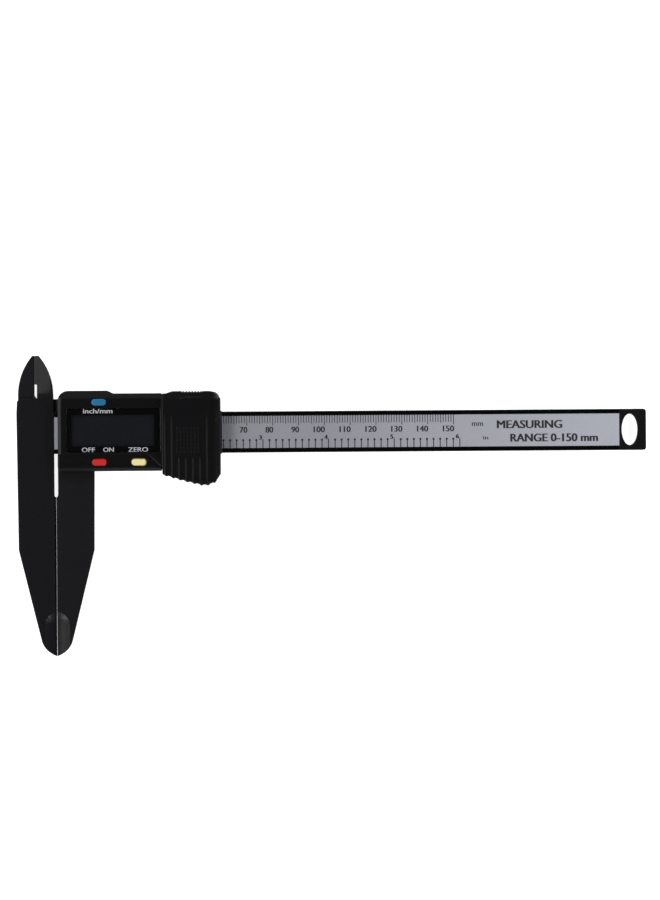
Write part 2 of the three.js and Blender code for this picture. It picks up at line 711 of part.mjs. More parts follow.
function coverBody(distance) {
  const points = distance ? inset(coverOutline(), distance) : coverOutline();
  const outline = prism(shapeOf(points), COVER_BACK, 16);
  return outline.intersect(prismX(coverProfile(distance), COVER_START - 1, COVER_END + 1));
}

function batteryCover() {
  const outer = coverBody(0);
  const ribs = Array.from({ length: RIB_COUNT }, (_, i) => {
    const x = RIB_FIRST_X + i * RIB_PITCH;
    return box(x - RIB_WIDTH / 2, x + RIB_WIDTH / 2, -30, 30, COVER_BACK, 20);
  });
  const rimY = 12.4; // above this the outside is plain, with no grooves
  const plain = join(
    box(COVER_START, COVER_END, rimY, 30, COVER_BACK, 20),
    box(COVER_START, COVER_START + 0.5, -30, 30, COVER_BACK, 20),
  );
  const ribbed = join(coverBody(RIB_HEIGHT), outer.intersect(join(plain, ...ribs)));
  const lobePocket = prism(
    shapeOf([
      [COVER_START + 1.4, -14.8],
      [61.8, -14.8],
      [61.8, -16.6],
      [60.8, -18.1],
      [57.8, -18.8],
      [COVER_START + 1.4, -14.9],
    ]),
    COVER_BACK - 1,
    13.4,
  );
  const lips = join(
    box(COVER_START + 1, 61.9, -13.5, -12.35, 8, 8.7),
    box(COVER_START + 1, 61.9, 13.15, 14.3, 8, 8.7),
  );
  const inside = box(COVER_START - 1, 62.4, -13.25, 14.05, COVER_BACK - 1, COVER_INSIDE_TOP);
  return join(cut(ribbed, inside, lobePocket), lips);
}

// ---------------------------------------------------------------- the assembly
const caliper = new THREE.Group();
const frame = new THREE.Group();
const X_CENTRE = (BEAM_END - FIXED_JAW_WIDTH) / 2;
const Y_CENTRE = (NIB_TOP_Y + JAW_TIP_Y) / 2;
frame.position.set(-X_CENTRE, -Y_CENTRE, 0);
caliper.add(frame);

function place(group, name, made, material) {
  const mesh = new THREE.Mesh(geometryOf(made), material);
  mesh.name = name;
  group.add(mesh);
}

const fixedSide = new THREE.Group();
place(fixedSide, "main_beam", mainBeam(), BLACK);
place(fixedSide, "scale_stator_board", statorBoard(), BOARD_GREEN);
place(fixedSide, "scale_label", scaleLabel(), SILVER_PRINT);
place(fixedSide, "travel_stop_screw", stopScrew(), STEEL);

const slider = new THREE.Group();
place(slider, "sliding_jaw_frame", slidingFrame(), BLACK);
place(slider, "gib_spring", gibSpring(), SPRING_STEEL);
place(slider, "display_housing", displayHousing(), BLACK);
place(slider, "end_wiper", endWiper(), RUBBER);
place(slider, "display_window", displayWindow(), BLACK_GLOSS);
place(slider, "lcd_panel", lcdPanel(), LCD_GLASS);
place(slider, "lcd_holder", lcdHolder(), BLACK);
ZEBRA_Y.forEach((span, i) => place(slider, `zebra_strip_${i + 1}`, zebraStrip(span), RUBBER));
place(slider, "main_board", mainBoard(), BOARD_GREEN);
place(slider, "chip_epoxy_drop", chipDrop(), EPOXY);
place(slider, "capacitor_1", capacitor(13.6, 3.6), CERAMIC);
place(slider, "capacitor_2", capacitor(13.6, -1.4), CERAMIC);
place(slider, "button_cell", buttonCell(), STEEL);
place(slider, "battery_contact_positive", positiveContact(), SPRING_STEEL);
place(slider, "battery_contact_negative", negativeContact(), SPRING_STEEL);
CASE_SCREWS.forEach((spot, i) => place(slider, `case_screw_${i + 1}`, caseScrew(spot), STEEL));
BOARD_SCREWS.forEach((spot, i) => place(slider, `board_screw_${i + 1}`, boardScrew(spot), STEEL));

const loose = new THREE.Group();
for (const [name, key] of Object.entries(KEYS)) {
  place(loose, `${name}_button`, keyCap(key), plastic(key.colour, 0.4));
  place(slider, `${name}_button_pad`, keyPad(key), RUBBER);
}
place(loose, "battery_cover", batteryCover(), BLACK);

frame.add(fixedSide, slider, loose);

export default caliper;
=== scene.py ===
"""Looks for a long-jaw digital caliper, 150 mm travel, lying on its back on a white table.

Lengths are in millimetres in the caliper's design frame, and place() turns them into metres in the
row frame. In the design frame x = 0 is where the closed jaws meet, +x runs along the beam to its
free end, y = 0 is the beam's centreline with +y towards the inside jaws, and z = 0 is the back.
"""

import math

import bmesh
import bpy
import numpy as np
from mathutils import Matrix, Vector
from mathutils.bvhtree import BVHTree


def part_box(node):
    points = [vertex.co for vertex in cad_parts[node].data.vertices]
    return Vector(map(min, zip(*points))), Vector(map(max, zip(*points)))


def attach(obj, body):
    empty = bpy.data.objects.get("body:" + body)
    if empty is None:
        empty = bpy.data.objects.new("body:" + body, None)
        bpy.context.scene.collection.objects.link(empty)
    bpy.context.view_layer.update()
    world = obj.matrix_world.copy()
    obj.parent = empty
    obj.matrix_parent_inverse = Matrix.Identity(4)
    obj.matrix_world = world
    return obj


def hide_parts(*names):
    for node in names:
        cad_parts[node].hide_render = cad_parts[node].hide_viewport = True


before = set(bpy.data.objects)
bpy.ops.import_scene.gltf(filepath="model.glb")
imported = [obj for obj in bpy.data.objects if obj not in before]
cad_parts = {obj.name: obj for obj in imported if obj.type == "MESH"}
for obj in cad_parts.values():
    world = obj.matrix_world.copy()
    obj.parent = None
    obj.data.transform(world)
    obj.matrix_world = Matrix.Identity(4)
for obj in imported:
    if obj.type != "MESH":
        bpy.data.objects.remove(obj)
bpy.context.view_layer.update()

MM = 0.001
scene = bpy.context.scene

# ------------------------------------------------------------------ the design frame
LABEL_START = -0.65
label_low, label_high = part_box("scale_label")
ORIGIN = Vector((label_low.x - LABEL_START * MM, (label_low.y + label_high.y) / 2, 0))
LABEL_TOP = label_high.z / MM
LABEL_HALF = (label_high.y - label_low.y) / 2 / MM


def place(x, y, z):
    """A point of the design frame, as a place in the row frame."""
    return ORIGIN + Vector((x, y, z)) * MM


def design_box(node):
    """The corners of a CAD node in the design frame, as two lists of millimetres."""
    low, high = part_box(node)
    return [list((corner - ORIGIN) / MM) for corner in (low, high)]


# ------------------------------------------------------------------ camera and light
def add_camera():
    """A distant camera straight above the caliper, turned as the picture is."""
    aim = place(106.03, -7.18, 5)
    picture_height = 0.3483  # what the 36 mm sensor takes in, at the object
    turn = -0.00698
    data = bpy.data.cameras.new("camera")
    data.lens = 600
    data.sensor_width = 36
    data.clip_start = 0.1
    data.clip_end = 60
    camera = bpy.data.objects.new("camera", data)
    scene.collection.objects.link(camera)
    distance = data.lens / data.sensor_width * picture_height
    camera.location = aim + Vector((0, 0, distance))
    camera.rotation_euler = (0, 0, turn)
    scene.camera = camera


def add_softbox(name, azimuth, elevation, distance, size, radiance):
    """A square area light that faces the caliper's middle; radiance is its brightness, white being 1."""
    data = bpy.data.lights.new(name, "AREA")
    data.shape = "SQUARE"
    data.size = size
    data.energy = radiance * math.pi * size**2
    light = bpy.data.objects.new(name, data)
    light.visible_camera = False
    scene.collection.objects.link(light)
    aim = place(80, -10, 5)
    around, up = math.radians(azimuth), math.radians(elevation)
    way = Vector((math.cos(up) * math.cos(around), math.cos(up) * math.sin(around), math.sin(up)))
    light.location = aim + way * distance
    light.rotation_euler = way.to_track_quat("Z", "Y").to_euler()


def add_lights():
    scene.view_settings.view_transform = "Standard"
    world = bpy.data.worlds.new("studio")
    scene.world = world
    world.use_nodes = True
    background = world.node_tree.nodes["Background"]
    background.inputs["Color"].default_value = (1, 1, 1, 1)
    background.inputs["Strength"].default_value = 0.05
    add_softbox("left_softbox", 180, 20, 1.6, 0.9, 3.1)
    add_softbox("right_softbox", 0, 25, 1.6, 0.9, 0.45)
    add_softbox("front_softbox", -90, 22, 1.6, 1.1, 0.38)
    add_softbox("back_softbox", 90, 25, 1.6, 1.1, 0.35)
    add_softbox("high_softbox", 175, 62, 1.4, 0.42, 3)
    for quarter in range(4):
        add_softbox(f"corner_softbox_{quarter + 1}", 45 + 90 * quarter, 42, 1.4, 0.45, 7)


def add_table():
    mesh = bpy.data.meshes.new("table_top")
    side = 12
    corners = [(-side, -side, 0), (side, -side, 0), (side, side, 0), (-side, side, 0)]
    mesh.from_pydata(corners, [], [(0, 1, 2, 3)])
    table = bpy.data.objects.new("table_top", mesh)
    scene.collection.objects.link(table)
    material, nodes, links, shader = new_material("table_paper")
    shader.inputs["Base Color"].default_value = (0.85, 0.85, 0.85, 1)
    shader.inputs["Roughness"].default_value = 0.9
    shader.inputs["Specular IOR Level"].default_value = 0.1
    shader.inputs["Emission Color"].default_value = (1, 1, 1, 1)
    shader.inputs["Emission Strength"].default_value = 0.88
    mesh.materials.append(material)


# ------------------------------------------------------------------ materials
SIGNAL_LOW, SIGNAL_HIGH = 0.3, 0.7  # a noise signal stays mostly between these


def new_material(name):
    material = bpy.data.materials.new(name)
    material.use_nodes = True
    tree = material.node_tree
    return material, tree.nodes, tree.links, tree.nodes["Principled BSDF"]


def object_noise(nodes, links, per_mm, detail=3.0):
    """Noise fixed to the piece, with about per_mm features in each millimetre."""
    place_node = nodes.new("ShaderNodeTexCoord")
    noise = nodes.new("ShaderNodeTexNoise")
    noise.inputs["Scale"].default_value = per_mm / MM
    noise.inputs["Detail"].default_value = detail
    noise.inputs["Roughness"].default_value = 0.55
    links.new(place_node.outputs["Object"], noise.inputs["Vector"])
    return noise


def ramp(nodes, links, source, low, high):
    """A colour ramp from low to high over a signal's middle range."""
    node = nodes.new("ShaderNodeValToRGB")
    node.color_ramp.elements[0].position = SIGNAL_LOW
    node.color_ramp.elements[0].color = (*low, 1)
    node.color_ramp.elements[1].position = SIGNAL_HIGH
    node.color_ramp.elements[1].color = (*high, 1)
    links.new(source, node.inputs["Fac"])
    return node.outputs["Color"]


def spread(nodes, links, source, low, high):
    """Maps a signal's middle range to low..high."""
    node = nodes.new("ShaderNodeMapRange")
    node.inputs["From Min"].default_value = SIGNAL_LOW
    node.inputs["From Max"].default_value = SIGNAL_HIGH
    node.inputs["To Min"].default_value = low
    node.inputs["To Max"].default_value = high
    links.new(source, node.inputs["Value"])
    return node.outputs["Result"]


def bump(nodes, links, shader, height, depth_mm):
    node = nodes.new("ShaderNodeBump")
    node.inputs["Strength"].default_value = 1
    node.inputs["Distance"].default_value = depth_mm * MM
    links.new(height, node.inputs["Height"])
    links.new(node.outputs["Normal"], shader.inputs["Normal"])


def surface(name, dark, light, roughness, grain=8.0, depth=0.004, blotch=0.25, **constants):
    """A moulded or cast surface: two close colours in soft blotches, uneven gloss and a fine grain."""
    material, nodes, links, shader = new_material(name)
    patches = object_noise(nodes, links, blotch)
    links.new(ramp(nodes, links, patches.outputs["Fac"], dark, light), shader.inputs["Base Color"])
    fine = object_noise(nodes, links, grain, detail=2)
    links.new(spread(nodes, links, fine.outputs["Fac"], *roughness), shader.inputs["Roughness"])
    bump(nodes, links, shader, fine.outputs["Fac"], depth)
    for socket, value in constants.items():
        shader.inputs[socket.replace("_", " ")].default_value = value
    return material


RAIL_FOOT = 4.5  # the rails are polished, and their colour is painted darker as shade, above this height
# Painted shade: the rails' colour, much darker than the beam's, so that they look as dark as they do under
# the light.
RAIL_SHADE_TONE = (0.0008, 0.0008, 0.001, 1)
RAIL_GLOSS = 0.14


def rail_mask(nodes, links):
    """One on the beam's two rails beside the label, where the slider runs, and zero elsewhere: there the
    colour is painted darker as shade, and the gloss is raised as polish.
    """
    coordinates = nodes.new("ShaderNodeTexCoord")
    axes = nodes.new("ShaderNodeSeparateXYZ")
    links.new(coordinates.outputs["Object"], axes.inputs["Vector"])
    off_centre = nodes.new("ShaderNodeMath")
    off_centre.operation = "SUBTRACT"
    off_centre.inputs[1].default_value = ORIGIN.y
    links.new(axes.outputs["Y"], off_centre.inputs[0])
    width = nodes.new("ShaderNodeMath")
    width.operation = "ABSOLUTE"
    links.new(off_centre.outputs["Value"], width.inputs[0])
    label_edge = (LABEL_HALF - 0.02) * MM
    limits = (
        (width.outputs["Value"], "GREATER_THAN", label_edge),
        (axes.outputs["X"], "GREATER_THAN", label_low.x),
        (axes.outputs["X"], "LESS_THAN", label_high.x),
        (axes.outputs["Z"], "GREATER_THAN", RAIL_FOOT * MM),
    )
    mask = None
    for source, operation, limit in limits:
        test = nodes.new("ShaderNodeMath")
        test.operation = operation
        test.inputs[1].default_value = limit
        links.new(source, test.inputs[0])
        if mask is None:
            mask = test.outputs["Value"]
            continue
        both = nodes.new("ShaderNodeMath")
        both.operation = "MULTIPLY"
        links.new(mask, both.inputs[0])
        links.new(test.outputs["Value"], both.inputs[1])
        mask = both.outputs["Value"]
    return mask


def blend(nodes, links, mask, kind, plain, marked):
    """Takes the marked value where the mask is one and the plain one elsewhere."""
    mixed = nodes.new("ShaderNodeMix")
    mixed.data_type = kind
    links.new(mask, mixed.inputs["Factor"])
    links.new(plain, mixed.inputs["A"])
    mixed.inputs["B"].default_value = marked
    return mixed.outputs["Result"]


def fibre_plastic(name, tone, shine, polished_and_shaded_rails=False):
    """Black fibre-filled plastic: a fine grain with short flow streaks along the moulding."""
    material, nodes, links, shader = new_material(name)
    shader.inputs["Specular IOR Level"].default_value = shine
    coordinates = nodes.new("ShaderNodeTexCoord")
    stretch = nodes.new("ShaderNodeMapping")
    stretch.inputs["Scale"].default_value = (0.35, 1, 1)
    links.new(coordinates.outputs["Object"], stretch.inputs["Vector"])
    streaks = nodes.new("ShaderNodeTexNoise")
    streaks.inputs["Scale"].default_value = 1.4 / MM
    streaks.inputs["Detail"].default_value = 5
    links.new(stretch.outputs["Vector"], streaks.inputs["Vector"])
    dark = tuple(channel * 0.8 for channel in tone)
    light = tuple(channel * 1.25 for channel in tone)
    colour = ramp(nodes, links, streaks.outputs["Fac"], dark, light)
    fine = object_noise(nodes, links, 7, detail=3)
    roughness = spread(nodes, links, fine.outputs["Fac"], 0.3, 0.38)
    if polished_and_shaded_rails:
        # On the rails the colour is painted darker as shade, and the roughness is lowered as polish.
        mask = rail_mask(nodes, links)
        colour = blend(nodes, links, mask, "RGBA", colour, RAIL_SHADE_TONE)
        roughness = blend(nodes, links, mask, "FLOAT", roughness, RAIL_GLOSS)
    links.new(colour, shader.inputs["Base Color"])
    links.new(roughness, shader.inputs["Roughness"])
    bump(nodes, links, shader, fine.outputs["Fac"], 0.004)
    return material


def brushed_metal(name, tone, roughness):
    """Metal with fine lines along the beam."""
    material, nodes, links, shader = new_material(name)
    coordinates = nodes.new("ShaderNodeTexCoord")
    stretch = nodes.new("ShaderNodeMapping")
    stretch.inputs["Scale"].default_value = (0.02, 1, 1)
    links.new(coordinates.outputs["Object"], stretch.inputs["Vector"])
    lines = nodes.new("ShaderNodeTexNoise")
    lines.inputs["Scale"].default_value = 12 / MM
    lines.inputs["Detail"].default_value = 4
    links.new(stretch.outputs["Vector"], lines.inputs["Vector"])
    dark = tuple(channel * 0.9 for channel in tone)
    light = tuple(min(1, channel * 1.08) for channel in tone)
    links.new(ramp(nodes, links, lines.outputs["Fac"], dark, light), shader.inputs["Base Color"])
    links.new(spread(nodes, links, lines.outputs["Fac"], *roughness), shader.inputs["Roughness"])
    bump(nodes, links, shader, lines.outputs["Fac"], 0.001)
    shader.inputs["Metallic"].default_value = 1
    return material


SILVER = Vector((0.58, 0.595, 0.665))
PAINTED_SHEEN_SHARES = ((0, 0.74), (0.3, 0.63), (0.48, 0.63), (0.62, 0.76), (1, 1))  # place, share of the full silver colour: painted sheen, lightest at the free end


def silver_film():
    """Silver-printed film with a painted sheen: its colour is darkest between a third and a half of the way
    along and lightest at the free end, standing in for reflected light, and lighter again at the jaws' end,
    where it lifts the shade beside the housing.
    """
    material, nodes, links, shader = new_material("label_film")
    coordinates = nodes.new("ShaderNodeTexCoord")
    axes = nodes.new("ShaderNodeSeparateXYZ")
    links.new(coordinates.outputs["Object"], axes.inputs["Vector"])
    along = nodes.new("ShaderNodeMapRange")
    along.inputs["From Min"].default_value = label_low.x
    along.inputs["From Max"].default_value = label_high.x
    links.new(axes.outputs["X"], along.inputs["Value"])
    # This ramp paints the sheen: the film's colour is lighter where more light would reflect from it.
    tone = nodes.new("ShaderNodeValToRGB")
    stops = tone.color_ramp.elements
    for position, share in PAINTED_SHEEN_SHARES:
        stop = stops[0] if position == 0 else stops[-1] if position == 1 else stops.new(position)
        stop.color = (*(SILVER * share), 1)
    links.new(along.outputs["Result"], tone.inputs["Fac"])
    grain = object_noise(nodes, links, 3, detail=4)
    flecks = ramp(nodes, links, grain.outputs["Fac"], (0.86, 0.86, 0.86), (1, 1, 1))
    mixed = nodes.new("ShaderNodeMix")
    mixed.data_type = "RGBA"
    mixed.blend_type = "MULTIPLY"
    mixed.inputs["Factor"].default_value = 1
    links.new(tone.outputs["Color"], mixed.inputs["A"])
    links.new(flecks, mixed.inputs["B"])
    links.new(mixed.outputs["Result"], shader.inputs["Base Color"])
    links.new(spread(nodes, links, grain.outputs["Fac"], 0.36, 0.48), shader.inputs["Roughness"])
    bump(nodes, links, shader, grain.outputs["Fac"], 0.002)
    shader.inputs["Metallic"].default_value = 0.15
    return material


def circuit_board():
    """Green solder mask with copper tracks showing through as lighter lines."""
    material, nodes, links, shader = new_material("circuit_board")
    coordinates = nodes.new("ShaderNodeTexCoord")
    tracks = nodes.new("ShaderNodeTexBrick")
    tracks.inputs["Scale"].default_value = 0.35 / MM
    tracks.inputs["Mortar Size"].default_value = 0.035
    tracks.inputs["Color1"].default_value = (0.012, 0.075, 0.03, 1)
    tracks.inputs["Color2"].default_value = (0.01, 0.06, 0.025, 1)
    tracks.inputs["Mortar"].default_value = (0.03, 0.16, 0.06, 1)
    links.new(coordinates.outputs["Object"], tracks.inputs["Vector"])
    links.new(tracks.outputs["Color"], shader.inputs["Base Color"])
    weave = object_noise(nodes, links, 3)
    links.new(spread(nodes, links, weave.outputs["Fac"], 0.3, 0.45), shader.inputs["Roughness"])
    bump(nodes, links, shader, tracks.outputs["Fac"], 0.01)
    return material


def clear_pane():
    """Clear acrylic with an anti-glare finish: a soft, weak reflection, and the rest goes through."""
    material = bpy.data.materials.new("clear_pane")
    material.use_nodes = True
    nodes, links = material.node_tree.nodes, material.node_tree.links
    nodes.remove(nodes["Principled BSDF"])
    clear = nodes.new("ShaderNodeBsdfTransparent")
    clear.inputs["Color"].default_value = (0.93, 0.94, 0.95, 1)
    gloss = nodes.new("ShaderNodeBsdfGlossy")
    gloss.inputs["Roughness"].default_value = 0.14
    ripple = object_noise(nodes, links, 0.05, detail=0)
    wave = nodes.new("ShaderNodeBump")
    wave.inputs["Distance"].default_value = 0.005 * MM
    links.new(ripple.outputs["Fac"], wave.inputs["Height"])
    links.new(wave.outputs["Normal"], gloss.inputs["Normal"])
    fresnel = nodes.new("ShaderNodeFresnel")
    fresnel.inputs["IOR"].default_value = 1.2
    mix = nodes.new("ShaderNodeMixShader")
    links.new(fresnel.outputs["Fac"], mix.inputs["Fac"])
    links.new(clear.outputs["BSDF"], mix.inputs[1])
    links.new(gloss.outputs["BSDF"], mix.inputs[2])
    links.new(mix.outputs["Shader"], nodes["Material Output"].inputs["Surface"])
    return material


BODY_PLASTIC = fibre_plastic("body_plastic", (0.0046, 0.0044, 0.006), 0.34)
BEAM_PLASTIC = fibre_plastic("beam_plastic", (0.0038, 0.0036, 0.005), 0.3, polished_and_shaded_rails=True)
HOUSING_PLASTIC = fibre_plastic("housing_plastic", (0.0014, 0.0013, 0.0018), 0.24)
COVER_PLASTIC = fibre_plastic("cover_plastic", (0.0019, 0.0018, 0.0026), 0.26)
LABEL_FILM = silver_film()
PRINT_INK = surface("print_ink", (0.011, 0.011, 0.015), (0.02, 0.02, 0.025), (0.5, 0.65), blotch=4)
LEGEND_INK = surface("legend_ink", (0.62, 0.62, 0.64), (0.72, 0.72, 0.74), (0.45, 0.6), blotch=4)
MASK_INK = surface(
    "mask_ink",
    (0.0004, 0.0004, 0.0006),
    (0.0008, 0.0008, 0.001),
    (0.5, 0.6),
    blotch=1,
    Specular_IOR_Level=0.05,
)
LCD_GLASS = surface(
    "lcd_glass",
    (0.0098, 0.01, 0.0128),
    (0.0114, 0.0117, 0.0148),
    (0.25, 0.35),
    blotch=0.1,
    Specular_IOR_Level=0.15,
)
LCD_INK = surface(
    "lcd_ink",
    (0.0076, 0.0079, 0.0101),
    (0.0087, 0.0091, 0.0114),
    (0.3, 0.4),
    blotch=0.2,
    Specular_IOR_Level=0.15,
)
BLUE_KEY = surface("blue_key", (0.01, 0.148, 0.32), (0.017, 0.182, 0.38), (0.32, 0.45), blotch=1.5)
RED_KEY = surface("red_key", (0.57, 0.014, 0.011), (0.66, 0.022, 0.018), (0.32, 0.45), blotch=1.5)
YELLOW_KEY = surface("yellow_key", (0.9, 0.78, 0.34), (0.98, 0.88, 0.42), (0.32, 0.45), blotch=1.5)
SOFT_RUBBER = surface(
    "soft_rubber", (0.03, 0.03, 0.032), (0.05, 0.05, 0.052), (0.7, 0.85), grain=5, depth=0.01
)
WIPER_FELT = surface(
    "wiper_felt", (0.022, 0.022, 0.026), (0.034, 0.034, 0.038), (0.8, 0.95), grain=4, depth=0.03
)
EPOXY = surface(
    "epoxy_drop", (0.004, 0.004, 0.004), (0.008, 0.008, 0.008), (0.12, 0.25), grain=1, depth=0.02
)
CERAMIC = surface("ceramic_part", (0.35, 0.24, 0.12), (0.45, 0.32, 0.17), (0.4, 0.55), blotch=3)
ZINC = brushed_metal("zinc_plate", (0.55, 0.56, 0.58), (0.28, 0.42))
SPRING = brushed_metal("spring_steel", (0.42, 0.43, 0.45), (0.25, 0.38))
CELL_CAN = brushed_metal("cell_can", (0.42, 0.42, 0.43), (0.34, 0.46))
BOARD_GREEN = circuit_board()
PANE = clear_pane()


# ------------------------------------------------------------------ making pieces
def add_piece(name, mesh, body, material, replaced=()):
    """Shows a mesh in the row frame as a piece that rides on a body."""
    piece = bpy.data.objects.new(name, mesh)
    scene.collection.objects.link(piece)
    mesh.materials.clear()
    mesh.materials.append(material)
    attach(piece, body)
    if replaced:
        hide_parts(*replaced)
    return piece


def mesh_from(name, made):
    """A bmesh in design millimetres, as a mesh in the row frame."""
    bmesh.ops.recalc_face_normals(made, faces=made.faces)
    mesh = bpy.data.meshes.new(name)
    made.to_mesh(mesh)
    made.free()
    mesh.transform(Matrix.Translation(ORIGIN) @ Matrix.Scale(MM, 4))
    return mesh


def mark_smooth(mesh, sharp_degrees):
    """Shades a mesh smoothly, apart from its edges sharper than an angle."""
    for polygon in mesh.polygons:
        polygon.use_smooth = True
    mesh.set_sharp_from_angle(angle=math.radians(sharp_degrees))


EDGE_ANGLE = math.radians(24)  # edges sharper than this are rounded
NUDGE = 1e-7  # a ray starts again this far past what it has met
CLOSE_ENOUGH = 0.01 * MM  # a point this near to a surface counts as on it


def apply_modifiers(piece):
    """Makes the piece's modifiers part of its mesh."""
    bpy.context.view_layer.update()
    graph = bpy.context.evaluated_depsgraph_get()
    piece.data = bpy.data.meshes.new_from_object(piece.evaluated_get(graph))
    piece.modifiers.clear()


def is_outside(limit, point):
    """Whether a ray from the point meets a closed surface an even number of times."""
    way = Vector((0.36, 0.48, 0.8))
    crossings = 0
    hit = limit.ray_cast(point, way)[0]
    while hit:
        crossings += 1
        hit = limit.ray_cast(hit + way * NUDGE, way)[0]
    return crossings % 2 == 0


def pull_inside(mesh, sharp):
    """Moves the points of a rounded mesh that stand outside its sharp-edged shape back onto it."""
    limit = BVHTree.FromBMesh(sharp)
    for vertex in mesh.vertices:
        on_limit, _, _, distance = limit.find_nearest(vertex.co)
        if distance > CLOSE_ENOUGH and is_outside(limit, vertex.co):
            vertex.co = on_limit


def round_edges(piece, radius, segments=3, weighted=False):
    """Rounds a piece's edges as a mould does, and keeps its flat faces flat."""
    sharp = bmesh.new()
    sharp.from_mesh(piece.data)
    bevel = piece.modifiers.new("moulded_edges", "BEVEL")
    bevel.limit_method = "WEIGHT" if weighted else "ANGLE"
    bevel.angle_limit = EDGE_ANGLE
    bevel.width = radius * MM
    bevel.segments = segments
    bevel.use_clamp_overlap = False
    bevel.loop_slide = False
    bevel.miter_outer = "MITER_ARC"
    apply_modifiers(piece)
    pull_inside(piece.data, sharp)
    sharp.free()
    normals = piece.modifiers.new("flat_faces", "WEIGHTED_NORMAL")
    normals.keep_sharp = True


LEAST_CELL = 1.1 * MM  # a gap under this isn't parted
LONG_CELL = 7 * MM  # a long gap is parted into cells of about this length


def gap_middles(values):
    """Places inside the gaps between values: one in a gap's middle, and more along a long gap."""
    values = sorted(set(round(value, 6) for value in values))
    middles = []
    for a, b in zip(values, values[1:]):
        if b - a > LEAST_CELL:
            parts = max(2, round((b - a) / LONG_CELL))
            middles += [a + (b - a) * i / parts for i in range(1, parts)]
    return middles


def in_cells(made):
    """Redraws a triangulated solid's flat faces as a grid of cells, so that its edges can be rounded."""
    cuts = []
    for axis in (0, 1):
        normal = Vector((axis == 0, axis == 1, 0))
        for middle in gap_middles([v.co[axis] for v in made.verts]):
            cuts.append((axis, middle))
            geometry = made.verts[:] + made.edges[:] + made.faces[:]
            bmesh.ops.bisect_plane(
                made, geom=geometry, dist=1e-8, plane_co=normal * middle, plane_no=normal
            )

    def on_cut(edge):
        a, b = (v.co for v in edge.verts)
        return any(abs(a[axis] - at) < 1e-7 and abs(b[axis] - at) < 1e-7 for axis, at in cuts)

    flat = [e for e in made.edges if e.calc_face_angle(1) < math.radians(0.3) and not on_cut(e)]
    bmesh.ops.dissolve_edges(made, edges=flat, use_verts=True)


def weigh_edges(made, share):
    """Gives each sharp edge its share of the full edge radius; share takes the edge's two ends."""
    weights = made.edges.layers.float.new("bevel_weight_edge")
    for edge in made.edges:
        if edge.calc_face_angle(0) > EDGE_ANGLE:
            edge[weights] = share(*((v.co - ORIGIN) / MM for v in edge.verts))


def keep_slight_folds(made):
    """Marks the slight folds between near-level faces as sharp, so that they show as lines."""
    least, most = math.radians(1), math.radians(7)
    for edge in made.edges:
        near_level = all(abs(face.normal.z) > 0.9 for face in edge.link_faces)
        edge.smooth = not (near_level and least < edge.calc_face_angle(0) < most)


def moulded(node, name, body, material, slot, radius, segments=3, share=None):
    """A CAD node's own shape with its edges rounded, shown in the node's stead."""
    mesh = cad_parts[node].data.copy()
    made = bmesh.new()
    made.from_mesh(mesh)
    bmesh.ops.remove_doubles(made, verts=made.verts, dist=0.001 * MM)
    in_cells(made)
    keep_slight_folds(made)
    for face in made.faces:
        face.smooth = True
    if share:
        weigh_edges(made, share)
    made.to_mesh(mesh)
    made.free()
    piece = add_piece(name, mesh, body, material, [node])
    round_edges(piece, radius, segments, weighted=share is not None)
    return piece


def block(made, x0, x1, y0, y1, z0, z1):
    """Adds a small box to a bmesh of many."""
    corners = [(x, y, z) for z in (z0, z1) for y in (y0, y1) for x in (x0, x1)]
    v = [made.verts.new(corner) for corner in corners]
    for side in ((0, 2, 3, 1), (4, 5, 7, 6), (0, 1, 5, 4), (2, 6, 7, 3), (0, 4, 6, 2), (1, 3, 7, 5)):
        made.faces.new([v[i] for i in side])


def disc(made, x, y, radius, z0, z1, sides=12):
    """Adds a small round post to a bmesh of many."""
    turn = Matrix.Translation((x, y, (z0 + z1) / 2))
    bmesh.ops.create_cone(
        made, cap_ends=True, segments=sides, radius1=radius, radius2=radius, depth=z1 - z0, matrix=turn
    )


BOLD_STRIKES = 3  # bold lettering is struck this often, each time a little to the right
STRIKE_LIFT = 0.08  # and this share of its thickness higher


def letter(made, text, x, y, height, z0, z1, width, anchor="left", weight=0.0):
    """Adds raised lettering, height tall and about width wide, with its foot at y. Weight makes it bold."""
    curve = bpy.data.curves.new("lettering", "FONT")
    curve.body = text
    curve.resolution_u = 3
    curve.extrude = 0.5
    holder = bpy.data.objects.new("lettering", curve)
    scene.collection.objects.link(holder)
    bpy.context.view_layer.update()
    shape = bpy.data.meshes.new_from_object(holder.evaluated_get(bpy.context.evaluated_depsgraph_get()))
    bpy.data.objects.remove(holder)
    bpy.data.curves.remove(curve)
    points = np.array([v.co for v in shape.vertices])
    low, high = points.min(0), points.max(0)
    tall = height / (high[1] - low[1])
    wide = width / (high[0] - low[0])
    start = x - width if anchor == "right" else x
    to_place = Matrix.Translation((start, y, z0)) @ Matrix.Diagonal((wide, tall, z1 - z0, 1))
    shape.transform(to_place @ Matrix.Translation((-low[0], -low[1], -low[2])))
    for _ in range(BOLD_STRIKES if weight else 1):
        made.from_mesh(shape)
        shape.transform(Matrix.Translation((weight, 0, (z1 - z0) * STRIKE_LIFT)))
    bpy.data.meshes.remove(shape)


